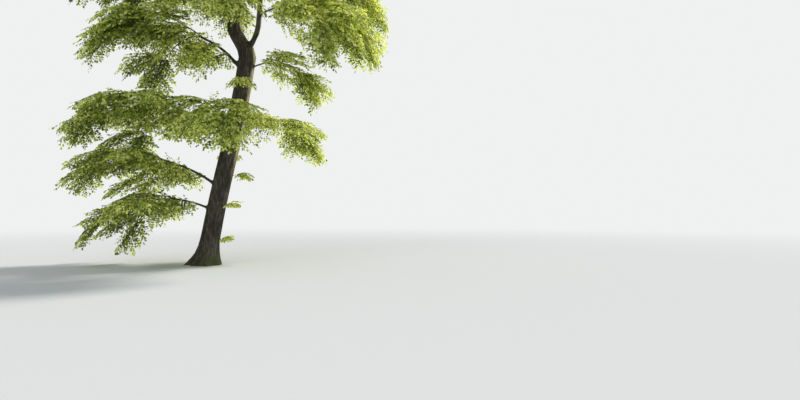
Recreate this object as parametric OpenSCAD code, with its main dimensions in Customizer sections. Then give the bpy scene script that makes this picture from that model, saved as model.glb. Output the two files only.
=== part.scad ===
// A forked broadleaf tree, leaning as it grows in a wood: a buttressed root flare, a bole, a fork with
// its bark ridge, two stems, and limbs whose side twigs each carry a flat, drooping spray of leaves.
// The origin is on the ground at the middle of the root flare, +Z is up, and the tree leans towards +X.

/* [Trunk] */
// Height of the whole tree
tree_height = 20600; // [18000:100:23000]
// Diameter of the bole at breast height
bole_d = 570; // [500:5:640]
// Height at which the bole begins to part into its two stems
fork_height = 6300; // [5900:20:6700]
// Lean of the bole away from upright, in degrees
bole_lean = 11; // [7:0.5:13]
// How much thinner the bole is at the fork than at breast height, as a share
bole_taper = 0.07; // [0:0.01:0.15]
// How far the bole wanders from a straight line
bole_wave = 40; // [0:5:70]

/* [Root flare] */
// Height of the root flare
flare_height = 900; // [700:20:1100]
// How far the longest buttress root reaches from the middle
root_reach = 720; // [600:10:850]
// Width of a buttress root, in degrees round the bole
root_width = 17; // [12:1:22]

/* [Stems] */
// Diameter of the main stem above the fork
main_d = 450; // [380:5:500]
// Diameter of the lesser stem on the right
right_d = 190; // [150:5:230]
// Height of the top of the lesser stem
right_height = 15200; // [14000:100:16000]
// Distance by which the main stem swings back to the left above the fork
main_swing = 430; // [330:10:520]
// Distance by which the lesser stem stands out to the right of the fork
right_swing = 300; // [240:10:380]
// Rise over which both stems make that swing
swing_height = 950; // [800:10:1200]
// Thickness of the ridge of bark in the crotch between the stems
ridge_d = 60; // [40:2:80]

/* [Limbs] */
// Radius of the crown at its widest
crown_radius = 4600; // [4000:50:5200]
// Number of limbs that spiral up the main stem
crown_limbs = 10; // [8:1:10]
// Angle from one of these limbs to the next, in degrees
crown_turn = 137.5; // [130:0.5:145]
// Length of the bark collar that carries a limb
collar_length = 60; // [30:5:90]
// Angle between a limb and the two arms that it parts into, in degrees
arm_angle = 46; // [38:1:52]
// Spacing of the side twigs along a limb or an arm
twig_spacing = 740; // [660:10:840]
// Angle between a side twig and its limb, in degrees
twig_angle = 48; // [42:1:60]

/* [Leaves] */
// Length of the largest leaf spray
spray_length = 1650; // [1400:20:1800]
// Width of a leaf spray, as a share of its length
spray_width = 0.72; // [0.5:0.01:0.8]
// Depth of a leaf spray through its leaves, on the lowest limbs
spray_depth = 220; // [120:10:300]
// Depth of a leaf spray in the crown, where it bears several layers of leaves
crown_depth = 520; // [300:10:600]
// Angle by which a leaf spray bends down along its length, in degrees
spray_droop = 38; // [20:1:55]

/* [Hidden] */
TRUNK_SIDES = 20;
STEM_SIDES = 12;
LIMB_SIDES = 5;
ARM_SIDES = 4;
TWIG_SIDES = 3;
RIDGE_SIDES = 5;
bark_dark = [0.29, 0.26, 0.22];
bark_light = [0.40, 0.36, 0.30];
leaf_green = [0.52, 0.64, 0.22];
breast_height = 1300;
twig_tip_r = 9;
arm_tip_r = 13;
// Where one piece of the trunk ends and the next begins
fork_top = fork_height + swing_height;
leader_length = 1800;
// Sprays on short branches and on side twigs are smaller, by these shares
short_spray = 0.72;
side_spray = 0.925;
// Length of a branch from which its sprays have their full size
full_branch = 3000;
top_spray = short_spray * spray_length;
main_top = tree_height - leader_length - top_spray;
right_top = right_height - leader_length - top_spray;
main_split = (fork_top + main_top) / 2;

// Buttress roots: compass angle (0 is +X, 90 is +Y), and reach as a share of the longest
ROOTS = [[183, 1], [236, 0.84], [287, 0.9], [338, 0.74], [28, 0.8], [82, 0.92], [132, 0.82]];

// Limbs placed one by one. Up is the share of its stem at which a limb starts, compass its direction, bend
// how far it turns sideways, rise its angle above level, reach its length as a share of the crown's radius
// and girth its diameter as a share of its length.
// name, stem, up, compass, bend, rise at base, rise at tip, reach, girth
PLACED = [
    ["low_left", "bole", 0.37, 179, -10, 34, -14, 0.7, 0.026],
    ["low_hang", "bole", 0.26, 192, 12, 22, -25, 0.52, 0.028],
    ["left_fan", "bole", 0.62, 190, -14, 30, -14, 0.74, 0.026],
    ["front", "bole", 0.73, 247, 60, 14, -32, 0.48, 0.028],
    ["back_low", "bole", 0.675, 80, -18, 24, -14, 0.59, 0.027],
    ["upper_left", "bole", 0.925, 178, 14, 48, -16, 0.74, 0.028],
    ["right_low", "bole", 0.935, 352, 16, 22, -38, 0.28, 0.035],
    ["fork_front", "main", 0.09, 262, 30, 24, -26, 0.37, 0.03],
    ["left_high", "main", 0.125, 205, -25, 40, -18, 0.74, 0.027],
    ["back_left", "main", 0.182, 128, 12, 32, -12, 0.76, 0.027],
    ["right_near", "right", 0.146, 345, 14, 20, -38, 0.61, 0.022],
    ["right_far", "right", 0.27, 30, -14, 26, -28, 0.65, 0.021],
    ["right_front", "right", 0.438, 302, 0, 30, -19, 0.63, 0.02],
    ["right_back", "right", 0.584, 62, -6, 34, -13, 0.58, 0.02]
];
NAME = 0;
STEM = 1;
HEIGHT = 2;
COMPASS = 3;
BEND = 4;
BASE_RISE = 5;
TIP_RISE = 6;
LENGTH = 7;
DIAMETER = 8;

// Limbs that spiral up the main stem, in the same columns. Each pair is for the lowest and the highest.
crown_end = (main_top - fork_height) / (tree_height - fork_height) - 0.035;
crown_up = [0.23, crown_end];
crown_rise = [54, 66];
crown_tip_rise = [14, 50];
crown_reach = [0.84, 0.47];
crown_girth = [0.032, 0.036];
crown_bend = 18;
first_compass = 100;
// Below 1, they stand wider apart towards the top
crown_crowding = 0.85;
// Beside the lesser stem, limbs turn away from it, into this share of the full circle. They have the whole
// circle from its top on, and turn back to it above this share of its height.
kept_circle = 0.62;
turns_back = 0.82;
function away(compass, height) = 180 + ((compass % 360) - 180)
    * mix(kept_circle, 1, ease((height / right_height - turns_back) / (1 - turns_back)));
CROWN = [for (k = [0 : crown_limbs - 1])
    let (share = pow(k / (crown_limbs - 1), crown_crowding), up = between(crown_up, share))
    [str("crown_", k + 1), "main", up, away(first_compass + crown_turn * k, height_on("main", up)),
        crown_bend, between(crown_rise, share), between(crown_tip_rise, share),
        between(crown_reach, 1 - sqrt(1 - share * share)), between(crown_girth, share)]];

// The leaders, which carry on from the tops of the two stems
UPRIGHT = 90;
LEADERS = [
    ["main_top", "main", main_top, 0, 0, UPRIGHT, 78, leader_length, 0],
    ["right_top", "right", right_top, 0, 0, UPRIGHT, 70, leader_length, 0]
];

// The height and the length of a limb, from its shares
function height_on(stem, up) = stem == "bole" ? up * fork_height
    : fork_height + up * ((stem == "main" ? tree_height : right_height) - fork_height);
function in_mm(row) = let (long = row[7] * crown_radius)
    [row[0], row[1], height_on(row[1], row[2]), row[3], row[4], row[5], row[6], long, row[8] * long];
LIMBS = concat([for (row = concat(PLACED, CROWN)) in_mm(row)], LEADERS);

// Small shoots on the trunk: height, compass angle, rise, length of the shoot, length of its spray
SHOOTS = [[740, 352, 25, 110, 300], [1700, 340, 30, 160, 420], [2700, 350, 10, 190, 460],
    [5500, 280, 5, 140, 620], [3300, 100, 20, 160, 500]];

// Outline of a leaf spray: share of its length, share of its half-width
SPRAY_OUTLINE = [[0.2, 0.8], [0.6, 0.96]];

WOOD_NODES = ["root_flare", "bole", "fork", "main_stem", "upper_stem", "right_stem"];
function limb_node(limb) = str(limb[NAME], "_limb");
function leaf_node(limb) = str(limb[NAME], "_leaves");

// Plain geometry

function unit(v) = v / norm(v);
function mix(a, b, share) = a + (b - a) * share;
function between(pair, share) = mix(pair[0], pair[1], share);
// Runs from 0 to 1 and is level at both ends
function ease(x) = let (c = min(max(x, 0), 1)) c * c * (3 - 2 * c);
function angle_between(a, b) = abs((a - b + 540) % 360 - 180);
function heading(compass, rise) = [cos(compass) * cos(rise), sin(compass) * cos(rise), sin(rise)];

// A ring of points round p, square to direction d, with half-widths across and upwards. Its upward side is
// the one nearest the sky, or the one towards -X where d itself is upright.
nearly_upright = 0.999;
function ring(p, d, across, upward, sides) =
    let (up = abs(d.z) > nearly_upright ? [-1, 0, 0] : [0, 0, 1], s = unit(cross(d, up)), u = cross(s, d))
    [for (k = [0 : sides - 1]) let (a = 360 * (k + 0.25 * sides % 1) / sides)
        p + across * cos(a) * s + upward * sin(a) * u];

// A closed skin over rings that have the same number of points, ending flat or in a point
module skin(rings, tip = undef) {
    n = len(rings[0]);
    last = (len(rings) - 1) * n;
    side = [for (j = [0 : n : last - n], k = [0 : n - 1]) let (a = j + k, b = j + (k + 1) % n)
        each [[a, b, b + n], [a, b + n, a + n]]];
    end = is_undef(tip) ? [[for (k = [0 : n - 1]) last + k]]
        : [for (k = [0 : n - 1]) [last + k, last + (k + 1) % n, last + n]];
    polyhedron(
        points = concat([for (r = rings) each r], is_undef(tip) ? [] : [tip]),
        faces = concat([[for (k = [n - 1 : -1 : 0]) k]], side, end));
}

// Middle lines and radii of the bole and the two stems, at height z

function bole_at(z) = [
    z * tan(bole_lean) - bole_wave * sin(360 * z / fork_height),
    bole_wave * sin(180 * z / fork_height),
    z];
fork_middle = bole_at(fork_height);
// How far the stems wander from their lines, in slow waves that quicken towards their tops
stem_wander = 150;
main_lean = 2;
right_lean = 1.5;
// How far the lesser stem bows out to the right by its top
right_bow = 1300;

function main_at(z) = let (up = z - fork_height, share = pow(up / (tree_height - fork_height), 2))
    fork_middle + [
    up * tan(main_lean) - main_swing * ease(up / swing_height) + stem_wander * sin(400 * share),
    stem_wander * sin(270 * share),
    up];
function right_at(z) = let (up = z - fork_height, share = pow(up / (right_height - fork_height), 2))
    fork_middle + [
    up * tan(right_lean) + right_swing * ease(up / swing_height) + right_bow * share,
    -stem_wander * sin(200 * share),
    up];
function stem_at(stem, z) = stem == "bole" ? bole_at(z) : stem == "main" ? main_at(z) : right_at(z);

// Radii at the very top of the main stem and of the lesser one
main_top_r = 26;
right_top_r = 18;
stem_taper = 1.1;
function bole_r(z) = bole_d / 2 * (1 - bole_taper * (z - breast_height) / (fork_height - breast_height));
function main_r(z) = mix(main_top_r, main_d / 2,
    pow((tree_height - z) / (tree_height - fork_top), stem_taper));
function right_r(z) = mix(right_top_r, right_d / 2,
    pow((right_height - z) / (right_height - fork_height), stem_taper));
function stem_r(stem, z) = stem == "bole" ? bole_r(z)
    : stem == "right" ? right_r(z)
    : mix(bole_r(fork_height), main_r(max(z, fork_top)), ease((z - fork_height) / swing_height));

// Level ring of a stem. Buttress roots swell the bole's towards the ground, and flutes run up from them.
flute_depth = 0.025;
fine_flutes = 0.6;
deepest_flutes = (1 + fine_flutes) * flute_depth;
swell_height = 2 * flare_height;
swell_fall = 5;
function root_swell(compass, z) = z >= swell_height ? 0
    : pow(1 - z / swell_height, swell_fall) * max([for (root = ROOTS)
        (root_reach * root[1] - bole_d / 2) * exp(-pow(angle_between(compass, root[0]) / root_width, 2))]);
function flute(compass) = 1 + flute_depth * (sin(3 * compass + 40) + fine_flutes * sin(5 * compass));
function stem_ring(stem, z, sides) = let (middle = stem_at(stem, z), r = stem_r(stem, z))
    [for (k = [0 : sides - 1]) let (compass = -360 * k / sides)
        middle + (r * flute(compass) + (stem == "bole" ? root_swell(compass, z) : 0))
            * [cos(compass), sin(compass), 0]];

// A stretch of a stem between two heights, with its rings closer together at the start if ends is over 1
module stem(name, from, to, steps, sides, ends = 1) {
    skin([for (k = [0 : steps]) stem_ring(name, mix(from, to, pow(k / steps, ends)), sides)]);
}

// The seam where the two stems meet, for front -1 or back 1. half is half its width at height z.
function seam(z, side) = let (m = main_at(z), q = right_at(z), gap = q.x - m.x,
        inward = (gap * gap + pow(right_r(z), 2) - pow(stem_r("main", z), 2)) / (2 * gap),
        half = sqrt(max(0, pow(right_r(z), 2) - inward * inward)))
    [q.x - inward, (m.y + q.y) / 2 + side * half, z];
seam_step = 5;
crotch = max([for (z = [fork_height + swing_height / 4 : seam_step : fork_top])
    let (p = seam(z, 1), q = seam(z, -1)) if (p.y - q.y > 2 * seam_step) z]);
// How far the ridge runs down on each side, and how much thinner it is at its ends
ridge_drop = 260;
ridge_taper = 0.5;

// The ridge of bark that is pushed up along the seam: over the crotch and down in front and behind
module bark_ridge() {
    reach = [for (k = [-4 : 4]) k / 4];
    line = [for (k = reach) seam(crotch - ridge_drop * k * k, k < 0 ? -1 : 1)];
    last = len(line) - 1;
    skin([for (k = [0 : last])
        let (r = ridge_d / 2 * (1 - ridge_taper * abs(reach[k])),
            out = unit(line[min(k + 1, last)] - line[max(k - 1, 0)]), side = [1, 0, 0], up = cross(side, out))
        [for (j = [0 : RIDGE_SIDES - 1]) let (a = 360 * j / RIDGE_SIDES)
            line[k] + r * (cos(a) * side + sin(a) * up)]]);
}

// Where a limb leaves its stem: the middle of the flat face that its bark collar ends in
function is_leader(limb) = limb[BASE_RISE] == UPRIGHT;
function limb_start(limb) =
    let (rise = limb[BASE_RISE], r = stem_r(limb[STEM], limb[HEIGHT]) * (1 + deepest_flutes))
    stem_at(limb[STEM], limb[HEIGHT]) + (is_leader(limb) ? [0, 0, 0]
        : ((r + limb[DIAMETER] / 2 * sin(rise)) / cos(rise) + collar_length) * heading_at(limb, 0));

// The bark collar: a swollen ring round the limb's foot that tapers to its flat face
collar_swell = 1.5;
module collar(limb) {
    out = heading_at(limb, 0);
    root = stem_at(limb[STEM], limb[HEIGHT]);
    reach = norm(limb_start(limb) - root);
    // distance from the middle of the stem, swelling
    steps = [[0.35 * reach, collar_swell], [reach - 1.1 * collar_length, collar_swell], [reach, 1]];
    skin([for (step = steps) let (r = limb[DIAMETER] / 2 * step[1])
        ring(root + step[0] * out, out, r, r, LIMB_SIDES)]);
}

module collars(stem, from, to) {
    for (limb = LIMBS)
        if (limb[STEM] == stem && !is_leader(limb) && limb[HEIGHT] > from && limb[HEIGHT] <= to)
            collar(limb);
}

// Limbs. A branch is a limb or one of its arms. Its first three columns are its start, its radius there and
// its kind, and the rest are a limb's.

FROM = 0;
START_R = 1;
KIND = 2;
function steps_of(branch) = branch[KIND] == "limb" ? 5 : branch[KIND] == "leader" ? 3 : 2;
function sides_of(branch) = branch[KIND] == "arm" ? ARM_SIDES
    : branch[KIND] == "leader" ? STEM_SIDES : LIMB_SIDES;
function heading_at(branch, share) = heading(
    branch[COMPASS] + branch[BEND] * share, mix(branch[BASE_RISE], branch[TIP_RISE], share));
function branch_line(branch) = let (steps = steps_of(branch), step = branch[LENGTH] / steps)
    [for (k = 0, p = branch[FROM]; k <= steps;
        p = p + step * heading_at(branch, (k + 0.5) / steps), k = k + 1) p];
branch_taper = 0.8;
function branch_r(branch, share) = mix(branch[START_R], arm_tip_r, pow(share, branch_taper));
function along(line, share) = let (at = share * (len(line) - 1), k = min(floor(at), len(line) - 2))
    mix(line[k], line[k + 1], at - k);

// The arms that a long limb parts into: share of the limb where it starts, side, share of the limb's length
ARMS = [[0.2, 1, 0.64], [0.38, -1, 0.54]];
shortest_parted = 0.5 * crown_radius;

// One arm leads upwards and the other down by this angle
arm_layer = 12;
// Share of the limb's girth that an arm takes, how far it turns back, and what it keeps of the limb's rise
arm_girth = 0.62;
arm_bend = 8;
arm_rise = 0.7;
function is_parted(branch) = branch[KIND] == "limb" && branch[LENGTH] >= shortest_parted;
function branches(limb) =
    let (leader = is_leader(limb),
        r = leader ? stem_r(limb[STEM], limb[HEIGHT]) : limb[DIAMETER] / 2,
        whole = [limb_start(limb), r, leader ? "leader" : "limb", limb[COMPASS], limb[BEND],
            limb[BASE_RISE], limb[TIP_RISE], limb[LENGTH]],
        line = branch_line(whole))
    concat([whole], !is_parted(whole) ? [] : [for (arm = ARMS)
        [along(line, arm[0]), arm_girth * branch_r(whole, arm[0]), "arm",
            limb[COMPASS] + limb[BEND] * arm[0] + arm[1] * arm_angle, -arm_bend * arm[1],
            arm_rise * mix(limb[BASE_RISE], limb[TIP_RISE], arm[0]) + arm[1] * arm_layer,
            limb[TIP_RISE] + arm[1] * arm_layer, limb[LENGTH] * arm[2]]]);

// Side twigs of a branch, to its left and right in turn, or round it on a leader:
// start, compass angle, rise, length, radius at the start
TWIG_LENGTH = 3;
TWIG_R = 4;
first_twig = 0.34;
first_past_arms = 0.52;
last_twig = 0.92;
twig_layer = 3;
// What a twig keeps of its branch's rise and girth
twig_rise = 0.4;
twig_girth = 0.6;
// Length of a twig at the foot of a branch and at its tip, and the greatest radius
twig_length = [430, 200];
twig_r = 18;
// Twigs stand closer together on a leader, by this share, and all rise by one angle
leader_spacing = 0.42;
leader_twig_rise = 32;
function twigs(branch) = let (line = branch_line(branch), leader = branch[KIND] == "leader",
        first = is_parted(branch) ? first_past_arms : first_twig,
        side = is_parted(branch) ? 1 : -1,
        spacing = twig_spacing * (leader ? leader_spacing : 1),
        count = max(2, round(branch[LENGTH] * (last_twig - first) / spacing) + 1))
    [for (k = [0 : count - 1])
        let (share = mix(first, last_twig, k / (count - 1)),
            compass = leader ? crown_turn * k
                : branch[COMPASS] + branch[BEND] * share + side * (k % 2 == 0 ? twig_angle : -twig_angle),
            rise = leader ? leader_twig_rise : twig_rise * mix(branch[BASE_RISE], branch[TIP_RISE], share)
                + (k % 4 < 2 ? twig_layer : -twig_layer))
        [along(line, share), compass, rise, between(twig_length, share),
            min(twig_girth * branch_r(branch, share), twig_r)]];
function twig_end(twig) = twig[FROM] + twig[TWIG_LENGTH] * heading(twig[1], twig[2]);

module branch_wood(branch) {
    line = branch_line(branch);
    steps = steps_of(branch);
    skin([for (k = [0 : steps]) let (share = k / steps, r = branch_r(branch, share))
        ring(line[k], heading_at(branch, share), r, r, sides_of(branch))]);
}

module limb_wood(limb) {
    color(bark_light) union() {
        for (branch = branches(limb)) {
            branch_wood(branch);
            for (twig = twigs(branch)) let (out = heading(twig[1], twig[2]))
                skin([ring(twig[FROM], out, twig[TWIG_R], twig[TWIG_R], TWIG_SIDES),
                    ring(twig_end(twig), out, twig_tip_r, twig_tip_r, TWIG_SIDES)]);
        }
    }
}

// Leaves

// One spray from point p on: a flat frond that starts as wide as its twig, spreads and bends down to its tip
module spray(p, compass, rise, length, depth, start_r) {
    steps = concat([[0, 0]], SPRAY_OUTLINE, [[1, 0]]);
    function out_at(share) = heading(compass, rise - spray_droop * share);
    spine = [for (k = 0, q = p; k < len(steps);
        q = k + 1 == len(steps) ? q
            : q + (steps[k + 1][0] - steps[k][0]) * length * out_at((steps[k][0] + steps[k + 1][0]) / 2),
        k = k + 1) q];
    tip = len(steps) - 1;
    skin([for (k = [0 : tip - 1]) let (wide = steps[k][1])
        ring(spine[k], out_at(steps[k][0]), max(start_r, wide * length * spray_width / 2),
            max(start_r, sqrt(wide) * depth / 2), TWIG_SIDES)], spine[tip]);
}

// The length of the spray at the end of a branch, and the depth of a limb's sprays, which grows up the bole
function spray_size(branch) = spray_length * mix(short_spray, 1, min(1, branch[LENGTH] / full_branch));
function depth_on(limb) = mix(spray_depth, crown_depth, ease(2 * limb[HEIGHT] / fork_height - 1));

module limb_leaves(limb) {
    depth = depth_on(limb);
    color(leaf_green) for (branch = branches(limb)) {
        for (twig = twigs(branch))
            spray(twig_end(twig), twig[1], twig[2], side_spray * spray_size(branch), depth, twig_tip_r);
        let (line = branch_line(branch))
            spray(line[len(line) - 1], branch[COMPASS] + branch[BEND], branch[TIP_RISE],
                spray_size(branch), depth, arm_tip_r);
    }
}

// A shoot starts inside the trunk and ends in its spray
SHOOT_SPRAY = 4;
shoot_r = 8;
// How far a shoot reaches into the trunk, and how deep its spray is as a share of the spray's length
shoot_root = 0.2 * bole_d;
shoot_depth = 0.3;
function shoot_start(shoot) = let (z = shoot[0], r = bole_r(z) * (1 - flute_depth))
    bole_at(z) + (r + root_swell(shoot[1], z)) * heading(shoot[1], 0);
function shoot_end(shoot) = shoot_start(shoot) + shoot[3] * heading(shoot[1], shoot[2]);

module shoots(from, to) {
    for (shoot = SHOOTS) if (shoot[0] > from && shoot[0] <= to) let (out = heading(shoot[1], shoot[2]))
        skin([ring(shoot_start(shoot) - shoot_root * out, out, shoot_r, shoot_r, TWIG_SIDES),
            ring(shoot_end(shoot), out, shoot_r, shoot_r, TWIG_SIDES)]);
}

module shoot_leaves() {
    color(leaf_green) for (shoot = SHOOTS)
        spray(shoot_end(shoot), shoot[1], shoot[2], shoot[SHOOT_SPRAY],
            shoot_depth * shoot[SHOOT_SPRAY], shoot_r);
}

// Trunk pieces, from the ground up

module root_flare() {
    color(bark_dark) union() {
        stem("bole", 0, flare_height, 5, TRUNK_SIDES, 1.7);
        shoots(0, flare_height);
    }
}

module bole() {
    color(bark_dark) union() {
        stem("bole", flare_height, fork_height, 6, TRUNK_SIDES);
        collars("bole", flare_height, fork_height);
        shoots(flare_height, fork_height);
    }
}

module fork() {
    color(bark_dark) union() {
        stem("main", fork_height, fork_top, 5, TRUNK_SIDES);
        stem("right", fork_height, fork_top, 4, STEM_SIDES);
        bark_ridge();
    }
}

module main_stem() {
    color(bark_light) union() {
        stem("main", fork_top, main_split, 5, STEM_SIDES);
        collars("main", fork_top, main_split);
    }
}

module upper_stem() {
    color(bark_light) union() {
        stem("main", main_split, main_top, 5, STEM_SIDES);
        collars("main", main_split, main_top);
    }
}

module right_stem() {
    color(bark_light) union() {
        stem("right", fork_top, right_top, 6, STEM_SIDES);
        collars("right", fork_top, right_top);
    }
}

root_flare();
bole();
fork();
main_stem();
upper_stem();
right_stem();
for (limb = LIMBS) {
    limb_wood(limb);
    limb_leaves(limb);
}
shoot_leaves();
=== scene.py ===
"""A leaning, forked broadleaf tree: bark, branches and layered leaf sprays, built round its fixed frame."""

import math

import bmesh
import bpy
import numpy as np
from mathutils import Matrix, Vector, noise


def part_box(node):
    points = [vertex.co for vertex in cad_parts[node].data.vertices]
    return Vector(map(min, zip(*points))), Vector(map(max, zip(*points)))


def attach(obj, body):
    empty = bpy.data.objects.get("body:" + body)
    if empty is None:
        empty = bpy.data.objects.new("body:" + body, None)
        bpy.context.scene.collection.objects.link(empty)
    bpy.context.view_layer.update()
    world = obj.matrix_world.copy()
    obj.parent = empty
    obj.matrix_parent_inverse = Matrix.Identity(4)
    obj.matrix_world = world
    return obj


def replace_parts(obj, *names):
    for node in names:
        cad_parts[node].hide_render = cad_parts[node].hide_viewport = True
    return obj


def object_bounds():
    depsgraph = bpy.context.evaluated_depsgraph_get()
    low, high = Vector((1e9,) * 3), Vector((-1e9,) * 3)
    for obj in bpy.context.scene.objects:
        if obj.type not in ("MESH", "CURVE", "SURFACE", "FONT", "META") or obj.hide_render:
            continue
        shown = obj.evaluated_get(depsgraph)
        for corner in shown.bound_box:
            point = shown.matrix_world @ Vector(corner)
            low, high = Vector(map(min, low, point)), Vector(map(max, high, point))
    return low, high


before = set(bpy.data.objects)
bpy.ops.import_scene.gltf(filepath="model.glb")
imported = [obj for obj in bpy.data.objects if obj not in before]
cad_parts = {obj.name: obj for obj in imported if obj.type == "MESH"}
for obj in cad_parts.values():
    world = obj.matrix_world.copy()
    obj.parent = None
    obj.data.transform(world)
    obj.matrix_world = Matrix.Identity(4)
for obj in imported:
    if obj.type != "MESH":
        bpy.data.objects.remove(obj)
cad_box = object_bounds()

# Lengths are in metres and angles in degrees, and shares run from 0 to 1

# Camera: where the photograph was taken from, looking down the lane
IMAGE_WIDTH = 800
IMAGE_HEIGHT = 400
HORIZON_ROW = 212
FOCAL_PIXELS = 628
SENSOR_MM = 36
CAMERA_PLACE = (5.87, -19.0, 1.6)

# Light and backdrop
SKY_STRENGTH = 0.48
SUN_STRENGTH = 3.0
SUN_SOFTNESS = 10
SUN_COMPASS = 46
SUN_HEIGHT = 40
SUN_COLOUR = (1.0, 0.95, 0.85)
FILL_STRENGTH = 0.8
FILL_SOFTNESS = 60
FILL_COMPASS = 262
FILL_HEIGHT = 30
FILL_COLOUR = (0.92, 0.96, 1.0)
FLOOR_RADIUS = 160
FLOOR_SIDES = 96
FLOOR_FADE = (13, 48)
FLOOR_COLOUR = (0.62, 0.65, 0.68, 1)
BACKDROP = (0.86, 0.88, 0.87, 1)

# Trunk: how it is joined, remeshed and smoothed, how far up its foot is rounded, and its swells, each as
# how often it comes across and upwards and how high it is
LOWER_NODES = ("root_flare", "bole", "fork")
UPPER_NODES = ("main_stem", "upper_stem", "right_stem")
WOOD_NODES = LOWER_NODES + UPPER_NODES
SAME_PLACE = 0.0004
BARK_VOXEL = 0.026
SMOOTHING_PULL = 0.5
BARK_SMOOTHING = 9
FOOT_SMOOTHING = 24
FOOT_HEIGHT = 0.9
RIM_HEIGHT = 0.014
FACING_DOWN = -0.9
SWELLS = ((2.2, 0.6, 0.012), (7.0, 1.3, 0.006), (22.0, 3.0, 0.003))

# Branches: steps along them and sides round them, radii, and how they bend and sway. An arm leaves its
# limb at a share that depends on the side that it is on.
LIMB_STEPS, LIMB_SIDES = 26, 10
ARM_STEPS, ARM_SIDES = 18, 8
TWIG_STEPS, TWIG_SIDES = 6, 6
TIP_RADIUS = 0.013
TWIG_RADIUS = 0.009
TAPER = 0.8
ARM_SHARES = {1: 0.2, -1: 0.38}
ARM_THICKNESS = 0.62
ARM_SEED = 0.3
CURVE_PULL = 1.05
NEARLY_UPRIGHT = 0.85
SUNK = 0.05
WANDER = 0.014
SWAY_SPACING = (7.3, 3.2, 9.1)
UV_MAP = "OFBake"
UV_FOOT = 0.01

# Twig behind a spray: how far back from the spray it may aim, how strongly a near aim is favoured, and its
# radius, as a share of the branch's and at most
TWIG_REACH = (0.1, 0.6)
TWIG_TRIES = 40
TWIG_REACH_COST = 0.05
TWIG_AIM = 0.4
TWIG_SHARE = 0.7
TWIG_MOST = 0.018

# Sprays in the frame: the longest side of their end faces, and of those that are on side twigs, how far
# and how they bend, and their depth
LARGEST_END = 0.0255
LARGEST_TWIG_END = 0.02
END_EVENNESS = 1.03
SPRAY_DROOP = 38
SPRAY_REACH = (0.26, 1.8)
HIDDEN_REACH = 1.45
OFF_PLANE = 0.004
TIP_AIM = math.cos(math.radians(1.5))
CROWN_AT = (0.5, 0.7)
SPRAY_BOW = 0.08
SPRAY_DEPTH = (0.08, 0.52)

# Layers of a spray. The lower ones turn and shorten by a draw between two values, and the height, lean
# and painted light of a layer go from the top one to the bottom one, which is painted in more shade.
LAYER_GAP = 0.17
LAYER_TURN = (10, 24)
LAYER_LENGTH = (0.72, 0.98)
LAYER_PLACE = (0.45, -0.35)
LAYER_LEAN = (-0.2, -0.05)
LAYER_RISE = 1.3
LAYER_SHADE = 0.4
LAYER_RADIUS = 0.6 * TWIG_RADIUS
SPINE_STEPS, SPINE_SIDES = 9, 4

# Side twigs of a layer, whose outline is a half-width at shares of the layer's length
HALF_WIDTH = 0.38
OUTLINE = ((0, 0.14, 0.42, 0.74, 1), (0.1, 0.62, 1, 0.72, 0.16))
SIDE_TWIG_SHARES = (0.1, 0.97)
SIDE_TWIG_SPACING = 0.062
SIDE_TWIGS_LEAST = 6
SIDE_TWIG_ANGLES = (60, 34)
SIDE_TWIG_ANGLE_SPREAD = 5
SIDE_TWIG_LEAN_SPREAD = 0.08
SIDE_TWIG_LENGTHS = (0.8, 1.12)
SIDE_TWIG_RADIUS = 0.0042
SIDE_TWIG_SIDES = 3
STALK_RADIUS = 0.0022

# Leaves along a twig
LEAF_START = 0.03
LEAF_SPACING = 0.054
LEAF_ANGLE = 48
LEAF_ANGLE_SPREAD = 9
LEAF_LENGTHS = (0.085, 0.13)
LAST_LEAVES = 0.82
LEAF_HANG = -0.16
LEAF_HANG_SPREAD = 0.16
LEAF_TILT = 0.6

# Shapes of a leaf folded a little along its midrib: corners as length, half-width and height, and faces
NEAR_LEAF = (np.array([[0, 0, 0], [0.3, 0.3, 0.05], [0.7, 0.27, 0.02], [1.0, 0, -0.07],
                       [0.7, -0.27, 0.02], [0.3, -0.3, 0.05]]), np.array([[0, 3, 2, 1], [0, 5, 4, 3]]))
FAR_LEAF = (np.array([[0, 0, 0], [0.47, 0.33, 0.05], [1.0, 0, -0.07], [0.47, -0.33, 0.05]]),
            np.array([[0, 2, 1], [0, 3, 2]]))

# Cells of the UV square, a row for each shade of painted light on a leaf, and how a leaf lies in its cell
SHADES = 8
CELL_WIDTH = 0.72
CELL_MARGIN = 0.06
CELL_LENGTH = 0.88

# Painted light and shade on a leaf, from 0 to 1: in the shade, and what height, the sunny side, the outer
# end of its twig, the outer end of its spray and a painted fleck of sun each add
SHADE_LIGHT = 0.04
HEIGHT_LIGHT = 0.2
SIDE_LIGHT = 0.32
TWIG_LIGHT = 0.26
SPRAY_LIGHT = 0.16
LIGHT_SPREAD = 0.2
SUNFLECK_SHARE = 0.26
SUNFLECK_LIGHT = 0.5
SHOOT_LIGHT = 0.45

# Leafy spurs along the limbs and arms, and the sprigs that are flat, drooping layers of their own
SPUR_SHARES = (0.2, 0.97)
SPUR_SPACING = 0.085
SPUR_LENGTHS = (0.08, 0.34)
SPUR_ROLL = 40
SPUR_AHEAD = 0.6
SPRIG_SHARES = (0.06, 0.94)
NEAR_SPRIG_SPACING = 0.24
FAR_SPRIG_SPACING = 0.32
SPRIG_LENGTHS = (0.55, 1.15)
SPRIG_SHORTENING = 0.35
SPRIG_ANGLES = (38, 80)
SPRIG_RISES = (-25, 20)
SPRIG_FALL = (0.15, 0.9)
SPRIG_SHADE = 0.1

# Shoots on the trunk: the stub behind each, and its extra layers
SHOOT_STUB = 0.3
SHOOT_END_RADIUS = 0.7 * TWIG_RADIUS
SHOOT_TURNS = (-52, -26, 26, 52)
SHOOT_REACH = 0.85
SHOOT_LEAN = -0.75

# Limbs whose leaves are near enough to the ground to be seen one by one
NEAR_LIMBS = ("low_left", "low_hang", "left_fan", "front", "back_low", "upper_left", "right_low",
              "fork_front", "left_high", "right_near")


# Plain maths

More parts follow.
